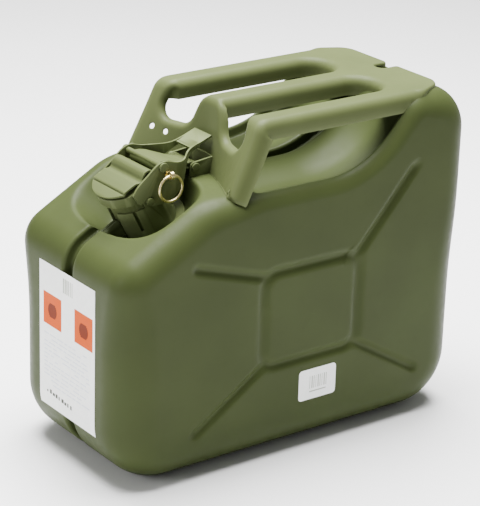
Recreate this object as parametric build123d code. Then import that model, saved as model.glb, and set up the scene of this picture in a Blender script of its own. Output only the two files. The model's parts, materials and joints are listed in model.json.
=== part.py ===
from build123d import *
import math
import os

# Pressed-steel ten-litre jerry can: two welded half shells, a three-bar carrying handle and a
# cam-lever cap. Millimetres. +X is the rear, -X the spout end, +Y the right side, +Z up.
# The origin is the middle of the footprint.

LENGTH = 345.0
THICKNESS = 165.0
BODY_TOP = 286.0
SHEET = 0.9
EDGE_R = 24.0

# Side outline, as corners of the sheet before they are rounded.
RECESS_Z = 230.0          # floor of the hand recess under the handles
SHOULDER_Z = 184.0        # where the shoulder slope would meet the front wall
SHOULDER_TILT = 29.0      # degrees
HUMP_X = 110.4            # front edge of the raised rear part
HUMP_TILT = 52.0          # degrees

# Seam channel between the halves.
CHANNEL_HALF = 6.0
CHANNEL_DEPTH = 8.0
LIP_R = 3.0

# Stiffening grooves pressed into both big sides.
PANEL_X, PANEL_Z = 8.0, 122.5
PANEL_W, PANEL_H = 96.0, 81.0
PANEL_R = 14.0
GROOVE_W = 12.0
GROOVE_DEPTH = 3.5
ARM_ENDS = ((-105.0, 181.0), (-104.0, 40.0), (120.0, 45.0), (110.0, 226.0))

# Spout. Its frame has x along the can's shoulder (u) and z along the spout's axis (s).
SPOUT_TILT = 27.0         # degrees forward of vertical
SPOUT_BASE = (-96.0, 0.0, 192.0)
PAN_FLOOR_R, PAN_TOP_U, PAN_TOP_Y, PAN_DEPTH = 34.0, 47.0, 64.0, 38.0
PAN_SHIFT = 3.0           # the wide top of the seat lies this much further back than its floor
NECK_R, NECK_WALL = 22.5, 1.5
NECK_TOP = 42.4
RIM_R = 23.8
SEAT_R, SEAT_T = 31.0, 2.5
COLLAR_R = 24.5
FLAT_Y = 23.3             # half width across the flats that the lever arms pass
LUG_U, LUG_S, LUG_R, LUG_END = -1.5, 33.5, 3.0, 27.4

# Cap and lever.
LID_R = 27.3
LID_SKIRT = 1.8
LID_LOW, LID_DISC, LID_TOP = 38.2, 45.4, 47.0
HINGE = (-63.5, 238.0)
LEVER_PIVOT = (-100.7, 247.4)
PIN_R = 2.5
RUN = 0.05                # radial clearance of every turning pin
KNUCKLE_R = 4.0
ARM_IN, ARM_OUT = 23.8, 25.6
STRAP_HALF, STRAP_END_HALF = 22.0, 13.5
LID_TRAVEL, LEVER_TRAVEL = 65.0, 110.0
EAR_RISE, EAR_DROP, EAR_T = 6.0, 14.0, 2.0
LOCK_AT = (-96.6, 241.1)
LOCK_R = 1.6
RING_R, RING_WIRE = 10.6, 1.15
EYE_Y, EYE_R, EYE_T = -31.0, 3.4, 3.0
CHEEK_TOP = ((-128, 228), (-122, 236), (-113, 243.5), (-106, 249.3), (-99, 251.6), (-90, 249.6), (-77, 249.2),
             (-66, 252.4), (-56, 255.8))
CHEEK_LOW = ((-56, 252.5), (-66, 247.2), (-73, 240.5), (-79, 231), (-86, 223.5), (-96, 218), (-110, 217),
             (-123, 220.5))
TAB_LINE = ((-64, 252.4), (-57, 255.4), (-45, 260.0))
TAB_HALF, TAB_T = 11.5, 1.8
NARROW_X, NECKED_X = -88.0, -60.0         # where the arms start and stop drawing together
SLOT_SWING, SLOT_STEP = 48, 4             # degrees of lever travel over which a lug is in its cam slot

# Handle pressing.
GRIP_TOP = 287.5
GRIP_HALF, GRIP_DEPTH, GRIP_R = 12.0, 16.0, 6.0
GRIP_YS = {"left_grip": -62.0, "centre_grip": 0.0, "right_grip": 62.0}
GRIP_FRONT, GRIP_REAR = -24.0, 90.0
HANDLE_T = 1.5
HANDLE_HALF = 74.0
PLATE_TOP_X, PLATE_LEAN = -41.0, 0.48     # sloping front plate; the lean is x per z
BAY_TOP_X, BAY_LEAN = -37.5, 0.16         # its set-back middle, behind the lever's tab
BAY_HALF = 41.0
BEND_R = 10.0
PLATE_END_X, PLATE_END_HALF, TAPER_FROM_X = 150.0, 60.0, 122.0   # the rear plate narrows to its end
PLATE_CORNER_R = 18.0
SLOT_LOW_Z, SLOT_FRONT_X, SLOT_REAR_X = 267.0, -70.0, 105.0
SLOT_R = 14.0
LACE_HOLES = ((48.0, 255.0), (30.0, 254.0))
LACE_R = 2.4

LABEL_T = 0.3
FRONT_LABEL_HALF, FRONT_LABEL_LOW, FRONT_LABEL_HIGH = 41.0, 39.0, 164.0
SIDE_LABEL_AT, SIDE_LABEL_SIZE, SIDE_LABEL_R = (17.0, 56.5), (38.0, 27.0), 3.0


def rounded(points, radii):
    return make_face(FilletPolyline(*points, radius=radii, close=True))


def side_outline(inset=0.0):
    """Side view of the body on the XZ plane, moved in by inset."""
    slope_x = -LENGTH / 2 + (RECESS_Z - SHOULDER_Z) / math.tan(math.radians(SHOULDER_TILT))
    foot_x = HUMP_X - (BODY_TOP - RECESS_Z) / math.tan(math.radians(HUMP_TILT))
    half = LENGTH / 2
    points = ((-half, 0), (half, 0), (half, BODY_TOP), (HUMP_X, BODY_TOP),
              (foot_x, RECESS_Z), (slope_x, RECESS_Z), (-half, SHOULDER_Z))
    face = Plane.XZ * rounded(points, (50, 50, 38, 26, 85, 60, 30))
    return offset(face, amount=-inset) if inset else face


def slab(face, near, far):
    """A face on the XZ plane as a solid from y = -near to y = -far."""
    return Pos(0, -near, 0) * extrude(face, amount=far - near)


def edges_at(solid, y):
    return [e for e in solid.edges() if abs(e.center().Y - y) < 0.01 and abs(e.bounding_box().size.Y) < 0.01]


def half_block(inset):
    """The left half as a full solid, shrunk by inset, with its rounded edges and seam step."""
    near, far = CHANNEL_HALF + inset, THICKNESS / 2 - inset
    block = slab(side_outline(inset), near, far)
    block = fillet(edges_at(block, -far), EDGE_R - inset)
    block = fillet(edges_at(block, -near), LIP_R - inset)
    return block + slab(side_outline(CHANNEL_DEPTH + inset), 0, near + 5)


def bar(start, end, width):
    """A straight stadium between two points, as a flat shape."""
    dx, dz = end[0] - start[0], end[1] - start[1]
    turn = math.degrees(math.atan2(dz, dx))
    middle = Pos((start[0] + end[0]) / 2, (start[1] + end[1]) / 2)
    return middle * Rot(0, 0, turn) * SlotCenterToCenter(math.hypot(dx, dz), width)


def grooves(grow):
    """Rounded frame and four diagonal arms, grown by grow, as a cutter for the left side."""
    width = GROOVE_W + 2 * grow
    outer = RectangleRounded(PANEL_W + width, PANEL_H + width, PANEL_R + width / 2)
    inner = RectangleRounded(PANEL_W - width, PANEL_H - width, PANEL_R - width / 2)
    shape = Pos(PANEL_X, PANEL_Z) * (outer - inner)
    for end in ARM_ENDS:
        side_x = math.copysign(PANEL_W / 2 - 3, end[0] - PANEL_X)
        side_z = math.copysign(PANEL_H / 2 - 3, end[1] - PANEL_Z)
        shape += bar((PANEL_X + side_x, PANEL_Z + side_z), end, width)
    depth = GROOVE_DEPTH + grow
    return Pos(0, -THICKNESS / 2 + depth, 0) * extrude(Plane.XZ * shape, amount=2 * depth)


def spout_plane():
    tilt = math.radians(SPOUT_TILT)
    return Plane(origin=SPOUT_BASE, x_dir=(math.cos(tilt), 0, math.sin(tilt)),
                 z_dir=(-math.sin(tilt), 0, math.cos(tilt)))


def biggest(shape):
    return shape.solids().sort_by(SortBy.VOLUME)[-1]


def on_spout(shape, low=0.0):
    return spout_plane() * Pos(0, 0, low) * shape


def tube(outer, inner, height):
    base = (Align.CENTER, Align.CENTER, Align.MIN)
    return Cylinder(outer, height, align=base) - Cylinder(inner, height, align=base)


def rod(radius, height):
    return Cylinder(radius, height, align=(Align.CENTER, Align.CENTER, Align.MIN))


def seam_web(shrink=0.0):
    """The strip of channel that still runs to the spout's front across the sunken seat."""
    half = CHANNEL_HALF - shrink
    return on_spout(Box(60, 2 * half, 60, align=(Align.MAX, Align.CENTER, Align.CENTER)), 20) \
        & on_spout(Pos(-15, 0, 0) * Box(80, 80, 140, align=(Align.MAX, Align.CENTER, Align.CENTER)))


def seat(grow):
    """Sunken dish round the spout as a cutter: round floor, wide oval rim, walls moved out by grow."""
    flare_u, flare_y = (PAN_TOP_U - PAN_FLOOR_R) / PAN_DEPTH, (PAN_TOP_Y - PAN_FLOOR_R) / PAN_DEPTH
    rim_u = PAN_TOP_U + grow * (flare_u + math.hypot(1, flare_u))
    rim_y = PAN_TOP_Y + grow * (flare_y + math.hypot(1, flare_y))
    floor = Pos(0, 0, -grow) * Circle(PAN_FLOOR_R + grow)
    rim = Pos(PAN_SHIFT, 0, PAN_DEPTH + grow) * Ellipse(rim_u, rim_y)
    return on_spout(loft([floor, rim])) - seam_web(grow)


def left_shell(block):
    hollow = half_block(SHEET) - seat(SHEET) - grooves(SHEET)
    shell = block - grooves(0) - hollow
    shell -= on_spout(rod(NECK_R + 0.02, 80), -20)
    keep = Pos(0, -THICKNESS / 2, THICKNESS) * Box(2 * LENGTH, THICKNESS, 4 * THICKNESS)
    return biggest(shell & keep)


def whole_block(block):
    return block + mirror(block, about=Plane.XZ)


def wide_channel(half, front, rear):
    """Inverted U of the handle sheet across the can, from x = front to x = rear."""
    outer = Rectangle(2 * half, GRIP_DEPTH) + Pos(0, -GRIP_R) * Rectangle(2 * half, GRIP_DEPTH - 2 * GRIP_R)
    shape = Plane.YZ * Pos(0, GRIP_TOP - GRIP_DEPTH / 2) * outer
    block = Pos(front, 0, 0) * extrude(shape, amount=rear - front)
    top = [e for e in block.edges() if abs(e.center().Z - GRIP_TOP) < 0.01 and e.bounding_box().size.X > 1]
    block = fillet(top, GRIP_R)
    low = block.bounding_box().min.Z
    cut = Plane.YZ * Pos(0, (low + GRIP_TOP - HANDLE_T) / 2 - 5) \
        * Rectangle(2 * (half - HANDLE_T), GRIP_TOP - HANDLE_T - low + 10)
    hollow = Pos(front - 1, 0, 0) * extrude(cut, amount=rear - front + 2)
    inside = [e for e in hollow.edges()
              if abs(e.center().Z - GRIP_TOP + HANDLE_T) < 0.01 and e.bounding_box().size.X > 1]
    return block - fillet(inside, GRIP_R - HANDLE_T)


def grip(y):
    return Pos(0, y, 0) * wide_channel(GRIP_HALF, GRIP_FRONT, GRIP_REAR)


def hand_slots():
    """Two long slots between the three grips, seen from above."""
    gap = GRIP_YS["right_grip"] - 2 * GRIP_HALF
    shape = Sketch()
    for side in (-1, 1):
        shape += Pos((SLOT_FRONT_X + SLOT_REAR_X) / 2, side * (GRIP_HALF + gap / 2)) \
            * RectangleRounded(SLOT_REAR_X - SLOT_FRONT_X, gap, SLOT_R)
    return extrude(shape, amount=BODY_TOP + 40)


def rear_plate(body):
    plate = wide_channel(HANDLE_HALF, GRIP_REAR, PLATE_END_X)
    sides = [(TAPER_FROM_X, HANDLE_HALF), (PLATE_END_X, PLATE_END_HALF)]
    outline = Polyline((0, HANDLE_HALF), *sides, *[(x, -y) for x, y in reversed(sides)], (0, -HANDLE_HALF), close=True)
    plan = extrude(make_face(outline), BODY_TOP + 40)
    corners = [e for e in plan.edges() if e.center().X > 1 and e.bounding_box().size.Z > 9]
    plate &= fillet(corners, PLATE_CORNER_R)
    plate -= hand_slots()
    return biggest(plate - body)


def sloping_band(top_x, lean, inset, half):
    """What lies behind a sloping sheet face and under the top sheet, moved in by inset."""
    low, top = RECESS_Z - 5, GRIP_TOP - inset
    shift = inset * math.hypot(1, lean)
    foot = top_x - lean * (GRIP_TOP - low) + shift
    front = top_x - lean * inset + shift
    points = ((GRIP_FRONT, top), (front, top), (foot, low), (foot + GRIP_DEPTH, low),
              (front + GRIP_DEPTH - BEND_R / 2, GRIP_TOP - GRIP_DEPTH), (GRIP_FRONT, GRIP_TOP - GRIP_DEPTH))
    band = slab(Plane.XZ * make_face(Polyline(*points, close=True)), -half, half)
    bend = [e for e in band.edges() if e.center().Z > top - 0.01 and abs(e.center().X - front) < 0.01]
    return fillet(bend, BEND_R - inset)


def bay(grow):
    """The space in front of the plate's set-back middle."""
    low, high, ahead = RECESS_Z - 40, GRIP_TOP + 20, PLATE_TOP_X - 80
    points = ((BAY_TOP_X - BAY_LEAN * (GRIP_TOP - low) + grow, low),
              (BAY_TOP_X - BAY_LEAN * (GRIP_TOP - high) + grow, high), (ahead, high), (ahead, low))
    half = BAY_HALF + grow
    return slab(Plane.XZ * make_face(Polyline(*points, close=True)), -half, half)


def front_plate(body):
    """Sloping pressed sheet from the grips down to the recess floor, with flanged sides."""
    middle = BAY_HALF + HANDLE_T
    outer = sloping_band(PLATE_TOP_X, PLATE_LEAN, 0, HANDLE_HALF) - bay(0)
    outer += sloping_band(BAY_TOP_X, BAY_LEAN, 0, middle)
    hollow = sloping_band(PLATE_TOP_X, PLATE_LEAN, HANDLE_T, HANDLE_HALF - HANDLE_T) - bay(HANDLE_T)
    hollow += sloping_band(BAY_TOP_X, BAY_LEAN, HANDLE_T, middle + 1)
    plate = outer - hollow
    gap = GRIP_YS["right_grip"] - 2 * GRIP_HALF
    window = RectangleRounded(2 * (GRIP_TOP - SLOT_LOW_Z), gap, SLOT_R)
    for side in (-1, 1):
        plate -= Pos(SLOT_FRONT_X, side * (GRIP_HALF + gap / 2), GRIP_TOP) * Rot(0, 90, 0) * extrude(window, 60)
    for y, z in LACE_HOLES:
        plate -= Pos(SLOT_FRONT_X, y, z) * Rot(0, 90, 0) * Cylinder(LACE_R, 120)
    return biggest(plate - body)


def neck():
    pipe = tube(NECK_R, NECK_R - NECK_WALL, NECK_TOP + 6)
    rim = Pos(0, 0, NECK_TOP + 6 - 1.8) * tube(RIM_R, NECK_R - NECK_WALL, 1.8)
    return on_spout(pipe + rim, -6)


def seat_ring():
    ring = tube(SEAT_R, NECK_R + 0.02, SEAT_T)
    return on_spout(ring) - seam_web()


def neck_collar():
    """Clamp round the spout with two side lugs that the lever's cams pull on."""
    low, high = SEAT_T, 30.0
    collar = tube(COLLAR_R, NECK_R + 0.02, high - low)
    collar &= Box(4 * COLLAR_R, 2 * FLAT_Y, 200)
    for angle in (-128, 128, -40, 40):
        slot = Pos(COLLAR_R - 1, 0, 8) * Box(6, 2.6, 20, align=(Align.CENTER, Align.CENTER, Align.MIN))
        collar -= Rot(0, 0, angle) * slot
    collar = Pos(0, 0, low) * collar
    for side in (-1, 1):
        tab = Pos(LUG_U, side * (FLAT_Y - 2), high - 4) * Box(
            9, 4, LUG_S - high + 7, align=(Align.CENTER, Align.CENTER, Align.MIN))
        stud = Pos(LUG_U, side * (FLAT_Y - 3), LUG_S) * Rot(-90 * side, 0, 0) * rod(LUG_R, LUG_END - FLAT_Y + 3)
        collar += (tab + stud) - Pos(0, 0, -5) * rod(NECK_R + 0.02, 80)
    return on_spout(collar) - seam_web()


def cross_pin(at, radius, half, head_r=0.0, head_t=0.0):
    """A pin along Y, with a round head outside each end."""
    pin = Pos(at[0], 0, at[1]) * Rot(90, 0, 0) * Cylinder(radius, 2 * half)
    if head_t:
        for side in (-1, 1):
            pin += Pos(at[0], side * (half - head_t / 2), at[1]) * Rot(90, 0, 0) * Cylinder(head_r, head_t)
    return pin


def hinge_bracket():
    """Leaf welded to the sloping plate, with two ears for the hinge pin."""
    ear_in, ear_out = STRAP_END_HALF + 0.5, STRAP_END_HALF + 0.5 + EAR_T
    top, low = HINGE[1] + EAR_RISE, HINGE[1] - EAR_DROP
    back_high = BAY_TOP_X - BAY_LEAN * (GRIP_TOP - top) - RUN
    back_low = BAY_TOP_X - BAY_LEAN * (GRIP_TOP - low) - RUN
    leaf_points = ((back_high, top), (back_low, low), (back_low - EAR_T, low), (back_high - EAR_T, top))
    leaf = slab(Plane.XZ * make_face(Polyline(*leaf_points, close=True)), -ear_out, ear_out)
    ear_points = ((back_high, top), (back_low, low), (HINGE[0] - KNUCKLE_R, low), (HINGE[0] - KNUCKLE_R, HINGE[1]),
                  (HINGE[0], HINGE[1]), (HINGE[0], HINGE[1] + KNUCKLE_R))
    ear = Plane.XZ * (make_face(Polyline(*ear_points, close=True)) + Pos(*HINGE) * Circle(KNUCKLE_R))
    ears = slab(ear, ear_in, ear_out) + slab(ear, -ear_out, -ear_in)
    return leaf + ears - cross_pin(HINGE, PIN_R + 0.02, 40)


def breather_tube():
    """Air pipe under the spout's rear edge, bent back towards the raised rear of the can."""
    path = FilletPolyline((-84, 0, 185), (-76, 0, 168), (20, 0, 168), radius=12)
    ring = Plane(origin=path @ 0, z_dir=path % 0) * (Circle(5) - Circle(4.2))
    return sweep(ring, path=path)


def lid():
    disc = Pos(0, 0, LID_DISC) * rod(LID_R, LID_TOP - LID_DISC)
    skirt = Pos(0, 0, LID_LOW) * tube(LID_R, LID_R - LID_SKIRT, LID_TOP - LID_LOW)
    cap = (disc + skirt) & Box(4 * LID_R, 2 * FLAT_Y, 200)
    cap -= rod(3.0, 100)
    return on_spout(cap)


def lid_gasket():
    return on_spout(tube(23.0, 13.2, LID_DISC - NECK_TOP - 0.3), NECK_TOP + 0.3)


def gasket_retainer():
    return on_spout(tube(13.0, 3.0, 1.5), LID_DISC - 1.5)


def lid_rivet():
    shank = Pos(0, 0, LID_DISC - 1.5) * rod(3.0, 3.2)
    foot = Pos(0, 0, LID_DISC - 3.0) * rod(5.0, 1.5)
    head = Pos(0, 0, LID_TOP) * rod(7.0, 2.0)
    return on_spout(shank + foot + head)


def to_spout(point):
    """World x, z of a point as u, s of the spout frame."""
    tilt = math.radians(SPOUT_TILT)
    dx, dz = point[0] - SPOUT_BASE[0], point[1] - SPOUT_BASE[2]
    return (dx * math.cos(tilt) + dz * math.sin(tilt), dz * math.cos(tilt) - dx * math.sin(tilt))


def lid_strap():
    """Ribbed spring plate over the lid, running back as a tapered strap to the hinge."""
    pivot, hinge = to_spout(LEVER_PIVOT), to_spout(HINGE)
    line = ((-26.5, 49.2), (-22.5, 51.2), (-16.0, 52.0), (-2.0, 52.4), (2.0, 51.3), (6.0, 53.4), (11.0, 53.2),
            (15.0, 50.2), (pivot[0], 49.4), (29.0, 49.0), (hinge[0] - 6.0, hinge[1] + 6.0),
            (hinge[0], hinge[1] + 3.0))
    upper = FilletPolyline(*[(u, s) for u, s in line], radius=1.0)
    lower = FilletPolyline(*[(u, s - 2.0) for u, s in line], radius=1.0)
    ends = Line(upper @ 0, lower @ 0) + Line(upper @ 1, lower @ 1)
    profile = make_face(upper + lower + ends)
    across = Plane(origin=SPOUT_BASE, x_dir=spout_plane().x_dir, z_dir=(0, -1, 0))
    sheet = Pos(0, STRAP_HALF, 0) * extrude(across * profile, amount=2 * STRAP_HALF)
    for at, half in ((LEVER_PIVOT, STRAP_HALF), (HINGE, STRAP_END_HALF)):
        sheet += cross_pin(at, KNUCKLE_R, half)
    rear = hinge[0] + 10
    plan = make_face(Polyline((-10, STRAP_HALF), (pivot[0] + 6, STRAP_HALF), (hinge[0] - 8, STRAP_END_HALF),
                              (rear, STRAP_END_HALF), (rear, -STRAP_END_HALF), (hinge[0] - 8, -STRAP_END_HALF),
                              (pivot[0] + 6, -STRAP_HALF), (-10, -STRAP_HALF), close=True))
    plan += Circle(LID_R + 0.6) & Rectangle(60, 2 * STRAP_HALF)
    sheet &= on_spout(extrude(plan, amount=100))
    for at in (LEVER_PIVOT, HINGE):
        sheet -= cross_pin(at, PIN_R + RUN, 40)
    return biggest(sheet)


def turned(point, centre, degrees):
    """Point x, z turned about centre so that +X goes up."""
    a = math.radians(degrees)
    dx, dz = point[0] - centre[0], point[1] - centre[1]
    return (centre[0] + dx * math.cos(a) - dz * math.sin(a), centre[1] + dx * math.sin(a) + dz * math.cos(a))


def lug_seen_from_lever(lever_angle):
    """Where the neck's lug is in the lever's rest frame once the lever has turned by lever_angle."""
    lid_angle = lever_angle * LID_TRAVEL / LEVER_TRAVEL
    tilt = math.radians(SPOUT_TILT)
    lug = (SPOUT_BASE[0] + LUG_U * math.cos(tilt) - LUG_S * math.sin(tilt),
           SPOUT_BASE[2] + LUG_U * math.sin(tilt) + LUG_S * math.cos(tilt))
    return turned(turned(lug, HINGE, lid_angle), LEVER_PIVOT, -lever_angle)


def lever_plan():
    """The two arms seen from above, side by side and then drawn together to the tab."""
    plan = Sketch()
    for side in (-1, 1):
        outer = [(-135, side * ARM_OUT), (NARROW_X, side * ARM_OUT)]
        inner = [(-135, side * ARM_IN), (NARROW_X, side * ARM_IN)]
        wall = ARM_OUT - ARM_IN
        bend_out = Spline(outer[1], (NECKED_X, side * TAB_HALF), tangents=((1, 0), (1, 0)))
        bend_in = Spline(inner[1], (NECKED_X, side * (TAB_HALF - wall)), tangents=((1, 0), (1, 0)))
        end = Polyline(bend_out @ 1, (-52, side * TAB_HALF), (-52, side * (TAB_HALF - wall)), bend_in @ 1)
        plan += make_face(Line(*outer) + bend_out + end + bend_in + Line(*inner) + Line(outer[0], inner[0]))
    return plan


def lever():
    """One bent sheet: two deep cam cheeks outside the spout, drawn together into a thumb tab."""
    top, low = Spline(*CHEEK_TOP), Spline(*CHEEK_LOW)
    cheek = make_face(top + low + Line(top @ 1, low @ 0) + Line(low @ 1, top @ 0))
    body = slab(Plane.XZ * cheek, -40, 40) & extrude(lever_plan(), amount=300)
    tab = make_face(Polyline(*TAB_LINE, *[(x + 0.5, z - TAB_T) for x, z in reversed(TAB_LINE)], close=True))
    body += slab(Plane.XZ * tab, -TAB_HALF, TAB_HALF)
    for degrees in range(0, SLOT_SWING + 1, SLOT_STEP):
        body -= cross_pin(lug_seen_from_lever(degrees), LUG_R + 0.6, 40)
    body -= cross_pin(LEVER_PIVOT, PIN_R + 0.02, 40)
    body -= Pos(0, EYE_Y, 0) * cross_pin(LOCK_AT, LOCK_R + RUN, 20)
    return biggest(body)


def locking_pin():
    """Pin through the left cheek, with a flat eye for the ring."""
    tip = -ARM_IN + 0.8
    shank = Pos(LOCK_AT[0], (tip + EYE_Y) / 2, LOCK_AT[1]) * Rot(90, 0, 0) * Cylinder(LOCK_R, tip - EYE_Y)
    collar = Pos(LOCK_AT[0], -ARM_OUT - 0.7, LOCK_AT[1]) * Rot(90, 0, 0) * Cylinder(LOCK_R + 1, 1.0)
    eye = Pos(LOCK_AT[0], EYE_Y, LOCK_AT[1]) * Rot(0, 90, 0) * Cylinder(EYE_R, EYE_T)
    hole = Pos(LOCK_AT[0], EYE_Y, LOCK_AT[1]) * Rot(0, 90, 0) * Cylinder(RING_WIRE + 0.7, 10)
    return shank + collar + eye - hole


def pull_ring():
    """Split ring hanging in the pin's eye."""
    return Pos(LOCK_AT[0], EYE_Y, LOCK_AT[1] - RING_R) * Rot(90, 0, 0) * Torus(RING_R, RING_WIRE)


def front_label():
    skin = extrude(offset(side_outline(), amount=LABEL_T), amount=FRONT_LABEL_HALF, both=True)
    skin -= extrude(side_outline(), amount=FRONT_LABEL_HALF + 9, both=True)
    middle = (FRONT_LABEL_LOW + FRONT_LABEL_HIGH) / 2
    size = (60, 2 * FRONT_LABEL_HALF, FRONT_LABEL_HIGH - FRONT_LABEL_LOW)
    return skin & Pos(-LENGTH / 2, 0, middle) * Box(*size)


def side_label():
    shape = Plane.XZ * Pos(*SIDE_LABEL_AT) * RectangleRounded(*SIDE_LABEL_SIZE, SIDE_LABEL_R)
    return Pos(0, -THICKNESS / 2, 0) * extrude(shape, amount=LABEL_T)


def build():
    plain_block = half_block(0)
    solid_body = whole_block(plain_block)
    left = left_shell(plain_block - seat(0))
    parts = {
        "left_shell": left,
        "right_shell": mirror(left, about=Plane.XZ),
        "handle_front_plate": front_plate(solid_body),
        "handle_rear_plate": rear_plate(solid_body),
        "neck": neck(),
        "neck_seat_ring": seat_ring(),
        "neck_collar": neck_collar(),
        "hinge_bracket": biggest(hinge_bracket() - solid_body),
        "hinge_pin": cross_pin(HINGE, PIN_R, STRAP_END_HALF + 4.5, 3.6, 1.5),
        "breather_tube": breather_tube(),
        "lid": lid(),
        "lid_gasket": lid_gasket(),
        "gasket_retainer": gasket_retainer(),
        "lid_rivet": lid_rivet(),
        "lid_strap": lid_strap(),
        "lever": lever(),
        "lever_pin": cross_pin(LEVER_PIVOT, PIN_R, ARM_OUT + 2.2, 3.8, 2.0),
        "locking_pin": locking_pin(),
        "pull_ring": pull_ring(),
        "front_label": front_label(),
        "side_label": side_label(),
    }
    for name, y in GRIP_YS.items():
        parts[name] = grip(y)
    return parts


os.makedirs("parts", exist_ok=True)
for node, shape in build().items():
    export_step(shape, f"parts/{node}.step")
    print(node, len(shape.solids()), round(shape.volume))
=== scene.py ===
import json
import math
import random

import bmesh
import bpy
import numpy as np
from mathutils import Matrix, Vector
from mathutils.geometry import delaunay_2d_cdt


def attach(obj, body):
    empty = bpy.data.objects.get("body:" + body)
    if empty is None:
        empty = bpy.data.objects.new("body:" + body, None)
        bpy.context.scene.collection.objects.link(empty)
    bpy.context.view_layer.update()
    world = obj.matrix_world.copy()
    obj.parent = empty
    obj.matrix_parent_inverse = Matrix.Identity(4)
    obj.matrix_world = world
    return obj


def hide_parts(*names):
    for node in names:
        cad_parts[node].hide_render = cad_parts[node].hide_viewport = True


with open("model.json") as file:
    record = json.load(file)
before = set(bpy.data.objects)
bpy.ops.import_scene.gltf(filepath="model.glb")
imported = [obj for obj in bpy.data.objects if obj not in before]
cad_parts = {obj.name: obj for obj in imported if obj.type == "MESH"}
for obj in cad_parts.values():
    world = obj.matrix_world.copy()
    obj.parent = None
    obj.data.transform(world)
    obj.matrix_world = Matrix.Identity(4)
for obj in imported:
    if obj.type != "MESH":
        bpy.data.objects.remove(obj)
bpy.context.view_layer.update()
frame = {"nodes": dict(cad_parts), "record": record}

MM = 0.001

# ---------------------------------------------------------------- sizes, in millimetres
LENGTH, THICKNESS, BODY_TOP, SHEET = 345.0, 165.0, 286.0, 0.9
RECESS_Z, SHOULDER_Z, SHOULDER_TILT = 230.0, 184.0, 29.0
HUMP_X, HUMP_TILT = 110.4, 52.0
CORNER_RADII = (50, 50, 38, 26, 85, 60, 30)
CHANNEL_HALF, CHANNEL_DEPTH, LIP_R = 6.0, 8.0, 3.0
PANEL_X, PANEL_Z, PANEL_W, PANEL_H, PANEL_R = 8.0, 122.5, 96.0, 81.0, 14.0
GROOVE_HALF, GROOVE_DEPTH, GROOVE_BLEND, ARM_START_IN = 6.6, 2.8, 1.5, 3
GROOVE_FADE_FROM, GROOVE_FADE = 4.0, 3.5    # the grooves fade where the big side turns into its edge
SIDE_MIDDLE_X, SIDE_MIDDLE_Z = 14.0, 118.0
EDGE_R, SHOULDER_CUT, REAR_CUT, RIDGE_CUT = 34.0, 13.0, 8.0, 7.0    # edge radius low down, and cuts from it
EDGE_HIGH_Z, EDGE_HIGH_RUN, EDGE_REAR_X, EDGE_REAR_RUN, RIDGE_X, RIDGE_RUN = 120, 70, 95, 45, -75, 35
EDGE_SMOOTHINGS = 40
ARM_ENDS = ((-105.0, 181.0), (-104.0, 40.0), (120.0, 45.0), (110.0, 226.0))
SPOUT_TILT, SPOUT_BASE = 27.0, (-96.0, 0.0, 192.0)
DISH_FLOOR_R, DISH_DEPTH, DISH_POWER = 33.0, 38.0, 3.0
DISH_FRONT, DISH_REAR, DISH_HALF = 45.0, 52.0, 66.0
NECK_HOLE_R = 24.0
SEAT_FLOOR_BLEND, SEAT_RIM_BLEND = 2.0, 1.3
SEAT_SHARE, SEAT_LOW_S, SEAT_HIGH_S = 1.35, -12, 70     # how far out, low and high the dish acts
NECK_HOLE_FROM_Z, NECK_HOLE_LOW_S = 150, -20
WEB_HALF, WEB_FADE, WEB_FROM_U, WEB_RUN = 4.6, 2.4, 8, 8    # what the channel leaves standing in the dish
HOLLOW_FROM_X, HOLLOW_TO_X, HOLLOW_HALF, HOLLOW_DEPTH, HOLLOW_FROM_Z = -48.0, 114.0, 73.0, 9.0, 200.0
HOLLOW_FRONT_RUN, HOLLOW_REAR_RUN, HOLLOW_SIDE_RUN = 22, 20, 4.5
HOLLOW_FROM_Y, HOLLOW_Y_RUN = 12, 36
STEP, FINE_STEP = 3.3, 1.9        # spacing of points along the body's outline

HANDLE_T, HANDLE_HALF, GRIP_TOP, GRIP_HALF, GRIP_DEPTH, GRIP_R = 1.5, 74.0, 287.5, 12.0, 16.0, 8.0
EDGE_TOP_X, EDGE_LEAN = -43.0, 0.52       # sloping front of the handle at its side edges
MIDDLE_TOP_X, MIDDLE_LEAN = -37.5, 0.16   # and in its middle, set back behind the lever's tab
CORNER_A, TOP_A, BEND_REACH = -40.0, -28.0, 8.0
FOOT_Z, PLATE_END_X, PLATE_END_HALF, TAPER_FROM_X, PLATE_CORNER_R = 228.5, 150.0, 60.0, 122.0, 18.0
SLOT_FROM_Z, SLOT_REAR_X, SLOT_R, SLOT_FRONT_R = 259.0, 105.0, 17.0, 13.0
NOTCH_X, NOTCH_HALF, NOTCH_R = 133.0, 6.0, 4.5    # cut in the plate's end where the seam comes up
LYING_R, LYING_DEPTH = 2.2, 14.0    # rim of the plate where it lies on the body
SLOT_FLARE_A, SLOT_FLARE_RUN, SLOT_FLARE_IN, SLOT_FLARE_OUT, SLOT_BEND_DEPTH = -34.0, 26.0, 8.0, 6.0, 7.0
LACE_HOLES, LACE_R, LACE_ROLL, LACE_FLANGE = ((57.0, 250.7), (43.0, 249.0)), 2.2, 0.7, 0.8
PLATE_CURVE, SUNK_IN_BODY = 1.5, 0.8
SLOT_FRONT_A, SLOT_FRONT_RUN, SLOT_FRONT_CUT = -30, 16, 2.6    # a slot's rim is tighter down the front
SLOT_ROOM_FROM, SLOT_ROOM_RISE = 6.0, 0.9
FOOT_A, FOOT_RUN, FOOT_SIDE, FOOT_SIDE_RUN, FOOT_ROLL, FOOT_FLANGE = -88, 8, 6, 4, 1.0, 2.0
LYING_LEAD, LYING_RUN = 8, 16
RIM_STEP, SLOT_STEP, LACE_STEP, SHARP_R = 1.6, 1.8, 0.7, 4
OUTLINE, SLOT, LACE = 1, -1, -2    # kinds of loop in the handle's sheet
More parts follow.
